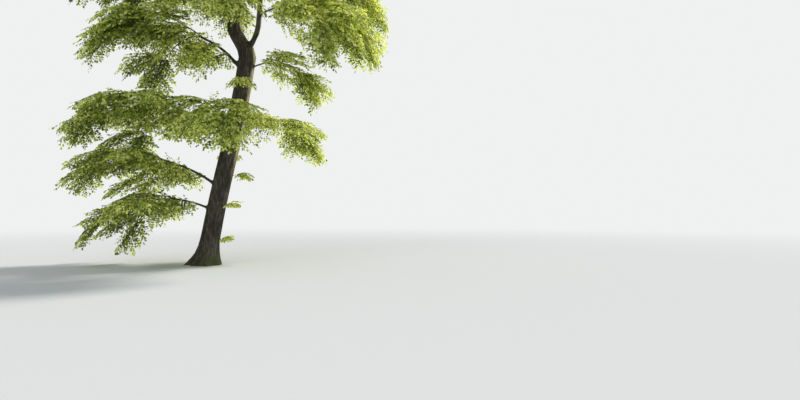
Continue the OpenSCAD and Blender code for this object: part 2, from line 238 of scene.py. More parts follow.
def unit(v):
    return v / np.linalg.norm(v, axis=-1, keepdims=True)


def mix(a, b, share):
    return a + (b - a) * share


def alternating(numbers):
    """1 for even numbers and -1 for odd ones."""
    return np.where(numbers % 2 == 0, 1, -1)


def linear(red, green, blue):
    """A colour written as it looks, in 0 to 255, as the RGBA that a shader takes."""
    shares = [c / 255 for c in (red, green, blue)]
    return (*[s / 12.92 if s <= 0.04045 else ((s + 0.055) / 1.055) ** 2.4 for s in shares], 1.0)


def heading(compass, rise):
    """The direction at a compass angle, 0 along +X and 90 along +Y, and an angle above level."""
    c, r = math.radians(compass), math.radians(rise)
    return np.array([math.cos(c) * math.cos(r), math.sin(c) * math.cos(r), math.sin(r)])


UP = heading(0, 90)


def turned(v, degrees):
    """Directions turned about the vertical."""
    c, s = math.cos(math.radians(degrees)), math.sin(math.radians(degrees))
    return v @ np.array([[c, s, 0], [-s, c, 0], [0, 0, 1]])


# Lines, as rows of points

def curve(start, out, end, inward, steps):
    """A smooth curve that leaves start along out and arrives at end along inward."""
    t = np.linspace(0, 1, steps)[:, None]
    pull = CURVE_PULL * np.linalg.norm(end - start)
    return ((2 * t**3 - 3 * t**2 + 1) * start + (t**3 - 2 * t**2 + t) * pull * out
            + (3 * t**2 - 2 * t**3) * end + (t**3 - t**2) * pull * inward)


def bend(start, out, end, steps):
    """A simple arc that leaves start along out and ends at end."""
    t = np.linspace(0, 1, steps)[:, None]
    middle = start + out * np.linalg.norm(end - start) / 2
    return (1 - t)**2 * start + 2 * t * (1 - t) * middle + t**2 * end


def length_of(line):
    return np.linalg.norm(np.diff(line, axis=0), axis=1).sum()


def along(line, shares):
    """Points and directions at shares of a line's steps."""
    at = np.clip(shares, 0, 1) * (len(line) - 1)
    k = np.minimum(at.astype(int), len(line) - 2)
    part = (at - k)[:, None]
    return mix(line[k], line[k + 1], part), unit(line[k + 1] - line[k])


def spaced(line, ends, spacing, least=0):
    """Evenly spaced shares of a line between two end shares, and the points and directions there."""
    count = max(least, round(length_of(line) * (ends[1] - ends[0]) / spacing))
    shares = np.linspace(*ends, count)
    return shares, *along(line, shares)


# Reading the frame

def rows_of(items, what, kind=np.float32):
    """Three numbers for each of a mesh's items, as rows."""
    flat = np.empty(3 * len(items), kind)
    items.foreach_get(what, flat)
    return flat.reshape(-1, 3)


def corners_of(node):
    return rows_of(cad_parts[node].data.vertices, "co").astype(float)


def triangles_of(node):
    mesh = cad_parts[node].data
    mesh.calc_loop_triangles()
    return corners_of(node)[rows_of(mesh.loop_triangles, "vertices", np.int32)]


def spray_at(face, corners):
    """The spray that starts at a face and bends down in the upright plane in which it starts.

    Its tip is the farthest corner in that plane that its droop leads to, and its crown tells its depth.
    """
    base = face.mean(0)
    out = unit(np.cross(face[2] - face[0], face[1] - face[0]))
    plane = unit(np.cross(out, UP))
    half = math.radians(SPRAY_DROOP / 2)
    chord = math.cos(half) * out - math.sin(half) * np.cross(plane, out)
    rel = corners - base
    far = np.linalg.norm(rel, axis=1)
    level = abs(rel @ plane) < OFF_PLANE / np.linalg.norm(out[:2])
    aimed = level & (rel @ chord > TIP_AIM * far) & (far > SPRAY_REACH[0]) & (far < SPRAY_REACH[1])
    reach = far[aimed].max() if aimed.any() else HIDDEN_REACH
    at, above = rel[level] @ chord / reach, rel[level] @ np.cross(plane, chord)
    crown = above[(at > CROWN_AT[0]) & (at < CROWN_AT[1])].max(initial=0)
    depth = np.clip(2 * (crown - SPRAY_BOW * reach), *SPRAY_DEPTH)
    at_tip = np.linalg.norm(face[0] - face[1]) > LARGEST_TWIG_END
    return {"base": base, "out": out, "tip": base + reach * chord, "depth": depth, "at_tip": at_tip}


def sprays_of(node):
    """The leaf sprays of a node, each of which starts at a small three-cornered face."""
    corners = corners_of(node)
    faces = triangles_of(node)
    sides = np.linalg.norm(faces - np.roll(faces, 1, axis=1), axis=2)
    ends = faces[(sides.max(1) < LARGEST_END) & (sides.max(1) < END_EVENNESS * sides.min(1))]
    return [spray_at(face, corners) for face in ends]


def start_of(limb, wood):
    """Middle, direction and radius of the face on which a limb leaves its stem."""
    corners = corners_of(limb)
    shared = np.linalg.norm(corners[:, None] - wood, axis=2).min(1) < SAME_PLACE
    ring = np.unique(np.round(corners[shared], 4), axis=0)
    middle = ring.mean(0)
    out = np.linalg.svd(ring - middle)[2][2]
    if out @ (corners.mean(0) - middle) < 0:
        out = -out
    return middle, out, np.linalg.norm(ring - middle, axis=1).mean()


# Meshes

class Shell:
    """Gathers the corners, faces and UV corners of many shapes for one piece."""

    def __init__(self, leaf=None):
        self.corners, self.loops, self.sizes, self.uvs = [], [], [], []
        self.count = 0
        self.leaf = leaf

    def add(self, corners, *faces):
        """Each of faces is a pair: corner numbers (n, k) and their UVs (n, k, 2)."""
        for index, uv in faces:
            self.loops.append((index + self.count).ravel())
            self.sizes.append(np.full(len(index), index.shape[1]))
            self.uvs.append(uv.reshape(-1, 2))
        self.corners.append(corners.reshape(-1, 3))
        self.count += len(self.corners[-1])

    def piece(self, name, material, slot, smooth):
        sizes = np.concatenate(self.sizes)
        loops = np.concatenate(self.loops)
        mesh = bpy.data.meshes.new(name)
        mesh.vertices.add(self.count)
        mesh.vertices.foreach_set("co", np.concatenate(self.corners).astype(np.float32).ravel())
        mesh.loops.add(len(loops))
        mesh.loops.foreach_set("vertex_index", loops.astype(np.int32))
        mesh.polygons.add(len(sizes))
        mesh.polygons.foreach_set("loop_start", (np.cumsum(sizes) - sizes).astype(np.int32))
        mesh.polygons.foreach_set("use_smooth", np.full(len(sizes), smooth))
        uv_map = mesh.uv_layers.new(name=UV_MAP)
        uv_map.data.foreach_set("uv", np.concatenate(self.uvs).astype(np.float32).ravel())
        mesh.update(calc_edges=True)
        return placed(name, mesh, material)


def placed(name, mesh, material):
    """A new piece that rides on the tree's one body."""
    piece = bpy.data.objects.new(name, mesh)
    bpy.context.scene.collection.objects.link(piece)
    mesh.materials.append(material)
    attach(piece, "root")
    return piece


def paired(u, v):
    """UVs from two arrays, or from an array and one number for all."""
    return np.stack(np.broadcast_arrays(u, v), axis=-1)


def add_tubes(shell, lines, radii, sides):
    """Adds tapering tubes that end in a point. lines is (tubes, steps, 3) and radii (tubes, steps)."""
    tubes, steps = radii.shape
    ahead = unit(np.gradient(lines, axis=1))
    upright = abs(ahead[..., 2].mean(1)) > NEARLY_UPRIGHT
    level = np.where(upright[:, None, None], heading(0, 0), UP)
    across = unit(np.cross(ahead, level))
    over = np.cross(across, ahead)
    turn = 2 * math.pi * np.arange(sides) / sides
    ring = (np.cos(turn)[:, None] * across[..., None, :] + np.sin(turn)[:, None] * over[..., None, :])
    rings = (lines[..., None, :] + radii[..., None, None] * ring)[:, :-1].reshape(tubes, -1, 3)
    corners = np.concatenate([rings, lines[:, -1:]], axis=1)
    per_tube = corners.shape[1]

    k = np.arange(sides)
    k_next = (k + 1) % sides
    row = sides * np.arange(steps - 2)[:, None]
    wall = np.stack([row + k, row + k_next, row + sides + k_next, row + sides + k], axis=-1).reshape(-1, 4)
    last = sides * (steps - 2)
    point = np.stack([last + k, last + k_next, np.full(sides, per_tube - 1)], axis=-1)
    foot = k[::-1][None, :]

    u, u_next, v = k / sides, (k + 1) / sides, np.arange(steps) / (steps - 1)
    low, high = v[:-2, None], v[1:-1, None]
    wall_uv = np.stack([paired(u, low), paired(u_next, low), paired(u_next, high), paired(u, high)],
                       axis=-2).reshape(-1, 4, 2)
    point_uv = np.stack([paired(u, v[-2]), paired(u_next, v[-2]), paired(u + 0.5 / sides, 1)], axis=-2)
    foot_uv = paired(0.5 + UV_FOOT * np.cos(turn), UV_FOOT + UV_FOOT * np.sin(turn))[None]

    shift = per_tube * np.arange(tubes)[:, None, None]
    shell.add(corners, *[
        ((index + shift).reshape(-1, index.shape[1]), np.tile(uv, (tubes, 1, 1)))
        for index, uv in ((wall, wall_uv), (point, point_uv), (foot, foot_uv)) if len(index)])


def add_tube(shell, line, radii, sides):
    add_tubes(shell, line[None], radii[None], sides)


# Materials

class Nodes:
    """Short ways to add shader nodes to one material."""

    def __init__(self, name):
        self.material = bpy.data.materials.new(name)
        self.material.use_nodes = True
        self.tree = self.material.node_tree
        self.shader = self.tree.nodes["Principled BSDF"]
        self.output = self.tree.nodes["Material Output"]

    def add(self, kind, settings=(), **inputs):
        """A new node. An input is given by its name, or as n0, n1 and so on by its number."""
        node = self.tree.nodes.new("ShaderNode" + kind)
        for key, value in dict(settings).items():
            setattr(node, key, value)
        for key, value in inputs.items():
            self.put(node.inputs[int(key[1:]) if key[0] == "n" and key[1:].isdigit() else key], value)
        return node

    def put(self, socket, value):
        if isinstance(value, bpy.types.NodeSocket):
            self.tree.links.new(value, socket)
        else:
            socket.default_value = value

    def set(self, **values):
        for key, value in values.items():
            self.put(self.shader.inputs[key.replace("_", " ")], value)

    def mix_in(self, share, other):
        """Shows a share of the other shader in place of the material's own."""
        both = self.add("MixShader", Fac=share, n1=self.shader.outputs[0], n2=other.outputs[0])
        self.put(self.output.inputs["Surface"], both.outputs[0])

    def math(self, operation, a, b=0.0):
        return self.add("Math", {"operation": operation}, n0=a, n1=b).outputs[0]

    def plus(self, a, b):
        return self.math("ADD", a, b)

    def times(self, a, b):
        return self.math("MULTIPLY", a, b)

    def opposite(self, share):
        return self.math("SUBTRACT", 1.0, share)

    def vector(self, operation, **inputs):
        return self.add("VectorMath", {"operation": operation}, **inputs)

    def facing(self, normal, direction):
        return self.vector("DOT_PRODUCT", n0=normal, n1=direction).outputs["Value"]

    def stretched(self, place, scales):
        return self.vector("MULTIPLY", n0=place, n1=scales).outputs[0]

    def noise(self, place, scale, detail=3, roughness=0.55):
        node = self.add("TexNoise", Vector=place, Scale=scale, Detail=detail, Roughness=roughness)
        return node.outputs["Fac"]

    def grain(self, place, scales, *settings):
        return self.noise(self.stretched(place, scales), *settings)

    def between(self, value, low, high):
        """0 below low, 1 above high and smooth between."""
        node = self.add("MapRange", {"interpolation_type": "SMOOTHSTEP"}, n0=value, n1=low, n2=high)
        return node.outputs[0]

    def blend(self, share, a, b):
        return self.add("Mix", {"data_type": "RGBA", "blend_type": "MIX"}, n0=share, n6=a, n7=b).outputs[2]

    def cover(self, under, value, edge, share, colour):
        """The colour under, covered up to a share by another where value passes the edge."""
        return self.blend(self.times(self.between(value, *edge), share), under, colour)

    def ramp(self, value, *stops):
        node = self.add("ValToRGB", Fac=value)
        stops_made = node.color_ramp.elements
        while len(stops_made) < len(stops):
            stops_made.new(1)
        for made, (place, colour) in zip(stops_made, stops):
            made.position = place
            made.color = colour
        return node.outputs[0]


# Bark of the trunk. A grain is how it is stretched, its scale and, where they matter, its detail and
# roughness. A cover is the values at which it starts and is full, its share and its colour.
BARK_DARK = linear(33, 30, 27)
BARK_TONES = ((0.4, BARK_DARK), (0.56, linear(62, 57, 50)), (0.72, linear(110, 103, 92)))
STREAKS = ((1, 1, 0.12), 26, 6, 0.62)
FLECKS = ((1, 1, 0.45), 90)
PATCHES = ((1, 1, 0.5), 2.6, 4)
LICHEN_SPOTS = ((1, 1, 0.7), 9, 5, 0.7)
STREAK_TONE = 0.62
TRUNK_PATCH_TONE = 0.5
STEM_PATCH_TONE = 0.58
FLECK_COVER = ((0.56, 0.7), 0.45, BARK_DARK)
LICHEN_COVER = ((0.58, 0.68), 0.55, linear(98, 106, 84))
BARK_ROUGHNESS = 0.88
BARK_SHINE = 0.3
PORES = 120
PORE_RELIEF = 0.35
RELIEF = {"Strength": 0.8, "Distance": 0.02}

# Painted highlight of a sunlit rim: pale bark on the sunny side, above the heights at which it starts and is
# full
SUNLIT_RIM_COLOUR = linear(228, 217, 176)
SUNLIT_RIM_COMPASS = -3
SUNLIT_RIM_EDGE = (1.03, 1.16)
SUNLIT_RIM_HEIGHTS = (1.5, 4.5)
SUNLIT_RIM_PATCHES = 0.35
SUNLIT_RIM_LEAST = 0.1
SUNLIT_RIM_STREAKS = 1.3

# Moss, which ends at a height and lies thicker where the bark faces one way
MOSS_COLOURS = (linear(42, 51, 26), linear(86, 97, 46))
MOSS_HEIGHT = 1.3
MOSS_FACING = (0.55, 0.25, 0.8)
MOSS_EDGE = (0.72, 0.9)
MOSS_GRAIN = (4, 7, 0.7)
MOSS_TUFTS = (60, 2)
MOSS_LOW = 0.36
MOSS_TOWARDS = 0.16
MOSS_PATCHES = 0.9
MOSS_SHARE = 0.75


def painted_sunlit_rim_on(n, bark, normal, height, streak, patch):
    """Bark with a streaked strip of pale bark on the sunny side, a painted highlight of its sunlit rim."""
    sunny = n.facing(normal, heading(SUNLIT_RIM_COMPASS, 0))
    sunlit_rim = n.between(n.plus(sunny, n.times(patch, SUNLIT_RIM_PATCHES)), *SUNLIT_RIM_EDGE)
    sunlit_rim = n.times(sunlit_rim, n.between(height, *SUNLIT_RIM_HEIGHTS))
    return n.blend(n.times(sunlit_rim, n.plus(SUNLIT_RIM_LEAST, n.times(streak, SUNLIT_RIM_STREAKS))), bark, SUNLIT_RIM_COLOUR)


def moss_on(n, bark, place, normal, height):
    """Bark with tufts of moss near the ground."""
    low = n.opposite(n.between(height, 0.0, MOSS_HEIGHT))
    towards = n.facing(normal, MOSS_FACING)
    wet = n.plus(n.times(low, MOSS_LOW), n.times(towards, MOSS_TOWARDS))
    moss = n.between(n.plus(wet, n.times(n.noise(place, *MOSS_GRAIN), MOSS_PATCHES)), *MOSS_EDGE)
    colour = n.blend(n.noise(place, *MOSS_TUFTS), *MOSS_COLOURS)
    return n.blend(n.times(moss, MOSS_SHARE), bark, colour)


def trunk_bark(name, patch_tone):
    """Grey-brown bark with upright streaks and pale lichen, a painted sunlit rim on the sunny side, mossy
    towards the ground.
    """
    n = Nodes(name)
    place = n.add("TexCoord").outputs["Object"]
    normal = n.add("NewGeometry").outputs["Normal"]
    streak, fleck, patch = [n.grain(place, *grain) for grain in (STREAKS, FLECKS, PATCHES)]
    bark = n.ramp(n.plus(n.times(streak, STREAK_TONE), n.times(patch, patch_tone)), *BARK_TONES)
    bark = n.cover(bark, fleck, *FLECK_COVER)
    bark = n.cover(bark, n.grain(place, *LICHEN_SPOTS), *LICHEN_COVER)
    height = n.add("SeparateXYZ", Vector=place).outputs["Z"]
    # Painted highlight: pale bark on the side that faces the sun stands in for its sunlit rim
    bark = painted_sunlit_rim_on(n, bark, normal, height, streak, patch)
    bark = moss_on(n, bark, place, normal, height)
    n.set(Base_Color=bark, Roughness=BARK_ROUGHNESS, Specular_IOR_Level=BARK_SHINE)
    relief = n.plus(streak, n.times(n.noise(place, PORES), PORE_RELIEF))
    n.set(Normal=n.add("Bump", Height=relief, **RELIEF).outputs[0])
    return n.material


# Bark of limbs and twigs, whose grain follows them round and is drawn out along them
LIMB_TONES = ((0.3, linear(48, 42, 35)), (0.55, linear(76, 68, 57)), (0.75, linear(108, 100, 84)))
LIMB_GRAIN = (1.6, 5, 0.6)
LIMB_GRAIN_LENGTH = 5.0
THIN_COVER = ((0.35, 1.0), 0.6, linear(70, 58, 42))
LIMB_ROUGHNESS = 0.8


def limb_bark():
    """Smooth grey-brown bark of limbs and twigs, darker towards the thin end of each."""
    n = Nodes("limb_bark")
    uv = n.add("SeparateXYZ", Vector=n.add("UVMap", {"uv_map": UV_MAP}).outputs[0]).outputs
    turn = n.times(uv["X"], 2 * math.pi)
    rolled = n.add("CombineXYZ", X=n.math("COSINE", turn), Y=n.math("SINE", turn),
                   Z=n.times(uv["Y"], LIMB_GRAIN_LENGTH)).outputs[0]
    bark = n.ramp(n.noise(rolled, *LIMB_GRAIN), *LIMB_TONES)
    bark = n.cover(bark, uv["Y"], *THIN_COVER)
    n.set(Base_Color=bark, Roughness=LIMB_ROUGHNESS, Specular_IOR_Level=BARK_SHINE)
    return n.material


# Leaves, with painted tones from shade to full light: lit and shaded greens of one leaf. Hue and value are
# each a least number and what the tint adds, and the share of the glow is a least number and what the
# painted light adds.
LEAF_TONES = ((0.0, linear(44, 68, 28)), (0.28, linear(100, 128, 54)), (0.55, linear(178, 194, 92)),
              (1.0, linear(250, 252, 184)))
LEAF_HUE = (0.485, 0.03)
LEAF_VALUE = (0.66, 0.4)
VEIN_SLOPE = 0.9
VEIN_RATE = 46.0
VEIN_COVER = ((0.5, 1.0), 0.16, linear(60, 86, 24))
MIDRIB_EDGE = (0.012, 0.045)
MIDRIB_SHARE = 0.5
MIDRIB = linear(206, 214, 128)
LEAF_ROUGHNESS = 0.5
LEAF_SHINE = 0.35
GLOW = linear(246, 254, 116)
GLOW_SHARE = (0.2, 0.7)
LIGHT_THROUGH = 0.62


def leaf_green():
    """Thin fresh leaves: the row of a leaf's cell is the painted light and shade on it, and each cell has a
    tint.
    """
    n = Nodes("leaf_green")
    grid = n.stretched(n.add("UVMap", {"uv_map": UV_MAP}).outputs[0], (SHADES, SHADES, 0))
    cell = n.vector("FLOOR", n0=grid).outputs[0]
    inside = n.add("SeparateXYZ", Vector=n.vector("FRACTION", n0=grid).outputs[0]).outputs
    across = n.math("ABSOLUTE", n.math("SUBTRACT", inside["X"], 0.5))
    row = n.add("SeparateXYZ", Vector=cell).outputs["Y"]
    light = n.math("DIVIDE", row, SHADES - 1)
    colour = n.ramp(light, *LEAF_TONES)
    tint = n.add("TexWhiteNoise", {"noise_dimensions": "2D"}, Vector=cell).outputs["Value"]
    hue, value = [n.plus(least, n.times(tint, more)) for least, more in (LEAF_HUE, LEAF_VALUE)]
    tinted = n.add("HueSaturation", Hue=hue, Saturation=1.0, Value=value, Color=colour).outputs[0]

    slanted = n.math("SUBTRACT", inside["Y"], n.times(across, VEIN_SLOPE))
    veined = n.cover(tinted, n.math("SINE", n.times(slanted, VEIN_RATE)), *VEIN_COVER)
    midrib = n.opposite(n.between(across, *MIDRIB_EDGE))
    face = n.blend(n.times(midrib, MIDRIB_SHARE), veined, MIDRIB)
    n.set(Base_Color=face, Roughness=LEAF_ROUGHNESS, Specular_IOR_Level=LEAF_SHINE)

    # Leaves painted as lit let more light through, in a brighter colour
    glowing = n.plus(GLOW_SHARE[0], n.times(light, GLOW_SHARE[1]))
    n.mix_in(LIGHT_THROUGH, n.add("BsdfTranslucent", Color=n.blend(glowing, face, GLOW)))
    return n.material


# Trunk

def joined_wood(shoot_ends):
    """The wood nodes as one mesh, closed over where the thin shoots leave it."""
    joined = bmesh.new()
    for node in WOOD_NODES:
        joined.from_mesh(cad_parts[node].data)
    bmesh.ops.remove_doubles(joined, verts=joined.verts, dist=SAME_PLACE)
    ends = [v for v in joined.verts if any((v.co - end).length < TIP_RADIUS for end in shoot_ends)]
    bmesh.ops.delete(joined, geom=ends, context="VERTS")
    bmesh.ops.holes_fill(joined, edges=[e for e in joined.edges if e.is_boundary])
    mesh = bpy.data.meshes.new("wood")
    joined.to_mesh(mesh)
    joined.free()
    return mesh


def largest_island(faces):
    """The faces that hang together, without the specks that remeshing leaves in a tight crotch."""
    label = np.arange(faces.max() + 1)
    while True:
        lower = label.copy()
        np.minimum.at(lower, faces, label[faces].min(axis=1, keepdims=True))
        lower = lower[lower]
        if (lower == label).all():
            return faces[label[faces[:, 0]] == np.bincount(label[faces[:, 0]]).argmax()]
        label = lower


def remeshed(mesh):
    """The mesh rebuilt with even, smooth faces, as corners, normals and faces."""
    helper = bpy.data.objects.new("helper", mesh)
    bpy.context.scene.collection.objects.link(helper)
    even = helper.modifiers.new("even", "REMESH")
    even.mode = "VOXEL"
    even.voxel_size = BARK_VOXEL
    soft = helper.modifiers.new("soft", "SMOOTH")
    soft.factor = SMOOTHING_PULL
    soft.iterations = BARK_SMOOTHING
    result = bpy.data.meshes.new_from_object(helper.evaluated_get(bpy.context.evaluated_depsgraph_get()))
    bpy.data.objects.remove(helper)
    faces = np.array([tuple(p.vertices) for p in result.polygons])
    return rows_of(result.vertices, "co"), rows_of(result.vertices, "normal"), largest_island(faces)


def neighbours(faces):
    """Every corner of each face and the corner before or after it, as two rows."""
    pairs = [np.stack([faces, np.roll(faces, k, axis=1)], axis=-1).reshape(-1, 2) for k in (1, -1)]
    return np.concatenate(pairs).T


def rounded_foot(corners, normals, faces):
    """Corners with the buttresses rounded off: each is drawn level towards its neighbours.

    The rim on the ground follows only itself, and nothing above it follows the face under the tree.
    """
    here, there = neighbours(faces)
    under = normals[:, 2] < FACING_DOWN
    rim = (corners[:, 2] < RIM_HEIGHT) & ~under
    kept = under[here] | ~under[there] & (~rim[here] | rim[there])
    here, there = here[kept], there[kept]
    count = np.bincount(here, minlength=len(corners))
    share = np.where(count > 0, SMOOTHING_PULL * np.clip(1 - corners[:, 2] / FOOT_HEIGHT, 0, 1), 0)
    rounded = corners.copy()
    for _ in range(FOOT_SMOOTHING):
        for axis in (0, 1):
            mean = np.bincount(here, rounded[there, axis], len(corners)) / np.maximum(count, 1)
            rounded[:, axis] += share * (mean - rounded[:, axis])
    return rounded


def swelled(corners, normals):
    """Corners moved along their normals by long upright swells and finer ridges."""
    out = np.zeros(len(corners))
    for across, upward, height in SWELLS:
        scaled = corners * (across, across, upward)
        out += height * np.array([noise.noise(Vector(p)) for p in scaled])
    moved = corners + normals * out[:, None]
    moved[:, 2] = np.maximum(moved[:, 2], 0)
    return moved


def trunk_piece(name, corners, normals, faces, material, nodes):
    """A piece of some of the trunk's faces, which keeps the normals of the whole at its edge."""
    used, index = np.unique(faces, return_inverse=True)
    mesh = bpy.data.meshes.new(name)
    mesh.from_pydata(corners[used].tolist(), [], index.reshape(-1, 4).tolist())
    mesh.polygons.foreach_set("use_smooth", np.full(len(faces), True))
    mesh.update()
    mesh.normals_split_custom_set_from_vertices(normals[used].tolist())
    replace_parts(placed(name, mesh, material), *nodes)


def build_trunk(shoot_ends):
    """The wood in two pieces, below and above the top of the fork."""
    corners, normals, faces = remeshed(joined_wood(shoot_ends))
    corners = swelled(rounded_foot(corners, normals, faces), normals)
    whole = bpy.data.meshes.new("whole")
    whole.from_pydata(corners.tolist(), [], faces.tolist())
    normals = rows_of(whole.vertices, "normal")
    low = corners[faces][:, :, 2].mean(1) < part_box("fork")[1].z
    trunk_piece("trunk", corners, normals, faces[low], trunk_bark("trunk_bark", TRUNK_PATCH_TONE),
                LOWER_NODES)
    trunk_piece("stems", corners, normals, faces[~low], trunk_bark("stem_bark", STEM_PATCH_TONE),
                UPPER_NODES)


# Branches

def wandering(line, seed):
    """The line, swung a little from side to side between its fixed ends."""
    t = np.linspace(0, 1, len(line))
    per_seed, per_line, per_axis = SWAY_SPACING
    sway = np.array([[noise.noise(Vector((seed * per_seed, per_line * s, per_axis * axis)))
                      for axis in range(3)] for s in t])
    return line + WANDER * np.linalg.norm(line[-1] - line[0]) * np.sin(math.pi * t)[:, None] * sway


def tapered(start, end, steps):
    return mix(start, end, np.linspace(0, 1, steps) ** TAPER)


def branches_of(limb, sprays, wood, seed):
    """The limb and its arms, each as a line, its radii and its number of sides."""
    start, out, radius = start_of(limb, wood)
    tips = sorted((s for s in sprays if s["at_tip"]), key=lambda s: -np.linalg.norm(s["tip"] - start))
    own = tips[0]
    line = wandering(curve(start, out, own["base"], own["out"], LIMB_STEPS), seed)
    branches = [(line, tapered(radius, TIP_RADIUS, LIMB_STEPS), LIMB_SIDES)]
    for number, tip in enumerate(tips[1:], 1):
        side = 1 if np.cross(own["base"] - start, tip["base"] - start)[2] > 0 else -1
        (foot,), (ahead,) = along(line, np.array([ARM_SHARES[side]]))
        arm = curve(foot, unit(ahead + unit(tip["base"] - foot)), tip["base"], tip["out"], ARM_STEPS)
        arm = wandering(arm, seed + ARM_SEED * number)
        thick = ARM_THICKNESS * mix(radius, TIP_RADIUS, ARM_SHARES[side] ** TAPER)
        branches.append((arm, tapered(thick, TIP_RADIUS, ARM_STEPS), ARM_SIDES))
    line[0] -= SUNK * out
    return branches


def twig_line(spray, branches):
    """The line and radii of the side twig that carries a spray, back to the nearest branch."""
    back = spray["base"] - np.linspace(*TWIG_REACH, TWIG_TRIES)[:, None] * spray["out"]
    cost = TWIG_REACH_COST * np.linspace(0, 1, TWIG_TRIES)[:, None]
    points = np.concatenate([line[2:] for line, _, _ in branches])
    radii = np.concatenate([r[2:] for _, r, _ in branches])
    gaps = np.linalg.norm(back[:, None] - points, axis=2) + cost
    step, foot = np.unravel_index(gaps.argmin(), gaps.shape)
    out = unit(mix(back[step], spray["base"], TWIG_AIM) - points[foot])
    line = curve(points[foot], out, spray["base"], spray["out"], TWIG_STEPS)
    return line, tapered(min(TWIG_SHARE * radii[foot], TWIG_MOST), TWIG_RADIUS, TWIG_STEPS)


# Sprays and leaves

def spine_of(spray, turn, share, place):
    """The middle line of one layer of a spray."""
    end = spray["base"] + turned(spray["tip"] - spray["base"], turn) * share
    line = bend(spray["base"], turned(spray["out"], turn), end, SPINE_STEPS)
    t = np.linspace(0, 1, SPINE_STEPS)
    line[:, 2] += place * spray["depth"] * np.sin(math.pi * np.minimum(t * LAYER_RISE, 1) / 2)
    return line


def side_twigs(line, droop, rng):
    """Feet, directions, lengths, shares of the line and upward normals of a layer's side twigs."""
    shares, feet, ahead = spaced(line, SIDE_TWIG_SHARES, SIDE_TWIG_SPACING, SIDE_TWIGS_LEAST)
    count = len(shares)
    side = alternating(np.arange(count))[:, None]
    across = unit(np.cross(ahead, UP))
    over = np.cross(across, ahead)
    angle = mix(*SIDE_TWIG_ANGLES, shares) + rng.normal(0, SIDE_TWIG_ANGLE_SPREAD, count)
    angle = np.radians(angle)[:, None]
    lean = rng.normal(droop, SIDE_TWIG_LEAN_SPREAD, (count, 1))
    out = unit(np.cos(angle) * ahead + np.sin(angle) * side * across + lean * over)
    wide = np.interp(shares, *OUTLINE) * HALF_WIDTH * length_of(line)
    lengths = wide / np.sin(angle[:, 0]) * rng.uniform(*SIDE_TWIG_LENGTHS, count)
    return feet, out, lengths, shares, over


def leaves_along(feet, out, lengths, over, rng):
    """Places, directions and normals of leaves, how far out on its twig each is, and the twig's number."""
    most = int(lengths.max() / LEAF_SPACING) + 2
    at = LEAF_START + LEAF_SPACING * np.arange(most)[None, :] + 0 * lengths[:, None]
    kept = at < lengths[:, None] + LEAF_SPACING / 2
    twig, number = np.nonzero(kept)
    at = np.minimum(at[kept], lengths[twig])
    last = at > lengths[twig] - LEAF_SPACING / 2
    angle = np.where(last, 0, LEAF_ANGLE) + rng.normal(0, LEAF_ANGLE_SPREAD, len(at))
    angle = np.radians(angle) * alternating(number)
    across = unit(np.cross(over[twig], out[twig]))
    ahead = np.cos(angle)[:, None] * out[twig] + np.sin(angle)[:, None] * across
    ahead = unit(ahead + rng.normal(LEAF_HANG, LEAF_HANG_SPREAD, (len(at), 1)) * over[twig])
    normal = unit(over[twig] + LEAF_TILT * rng.normal(0, 1, (len(at), 3)))
    return feet[twig] + at[:, None] * out[twig], ahead, normal, at / lengths[twig], twig


def within_box(points):
    return ((points > cad_box[0]) & (points < cad_box[1])).all(axis=-1)


def add_leaves(shell, places, ahead, normal, sizes, light, rng):
    """Adds the shell's leaf at each place, where all of it lies in the tree's box."""
    shape, faces = shell.leaf
    across = unit(np.cross(normal, ahead))
    over = np.cross(ahead, across)
    x, y, z = shape.T[:, None, :, None]
    corners = places[:, None] + sizes[:, None, None] * (
        x * ahead[:, None] + y * across[:, None] + z * over[:, None])
    inside = within_box(corners).all(axis=1)
    corners, light = corners[inside], light[inside]
    count = len(corners)
    # The row of a leaf's cell holds its painted light and shade
    row = np.clip((light * SHADES).astype(int), 0, SHADES - 1)
    column = rng.integers(0, SHADES, count)
    cell = np.stack([column, row], axis=-1)[:, None, None, :]
    uv = paired(0.5 - shape[:, 1] / CELL_WIDTH, CELL_MARGIN + CELL_LENGTH * shape[:, 0])
    uvs = (cell + uv[faces][None]) / SHADES
    index = faces[None] + len(shape) * np.arange(count)[:, None, None]
    sides = faces.shape[1]
    shell.add(corners, (index.reshape(-1, sides), uvs.reshape(-1, sides, 2)))


def add_twigs(feet, out, lengths, shares, over, wood, leaves, rng, sunlit):
    """Adds thin twigs and the leaves along them."""
    ends = feet + out * lengths[:, None]
    inside = within_box(ends)
    feet, out, lengths, shares, over, ends = (v[inside] for v in (feet, out, lengths, shares, over, ends))
    if not len(feet):
        return
    thick = paired(mix(SIDE_TWIG_RADIUS, STALK_RADIUS, shares), 0)
    add_tubes(wood, np.stack([feet, ends], axis=1), thick, SIDE_TWIG_SIDES)
    places, ahead, normal, outward, twig = leaves_along(feet, out, lengths, over, rng)
    count = len(places)
    sizes = rng.uniform(*LEAF_LENGTHS, count) * mix(1.0, LAST_LEAVES, shares[twig])
    # Painted light and shade: brighter high up, on the sunny side, at the outer ends and in painted
    # sunflecks
    light = sunlit + TWIG_LIGHT * outward + SPRAY_LIGHT * shares[twig] + rng.normal(0, LIGHT_SPREAD, count)
    light += SUNFLECK_LIGHT * (rng.random(count) < SUNFLECK_SHARE)
    add_leaves(leaves, places, ahead, normal, sizes, light, rng)


def grow_layer(line, radius, lean, wood, leaves, rng, sunlit):
    """Adds a drooping twig with side twigs and leaves to both sides."""
    line = np.clip(line, *cad_box)
    add_tube(wood, line, tapered(radius, STALK_RADIUS, SPINE_STEPS), SPINE_SIDES)
    add_twigs(*side_twigs(line, lean, rng), wood, leaves, rng, sunlit)


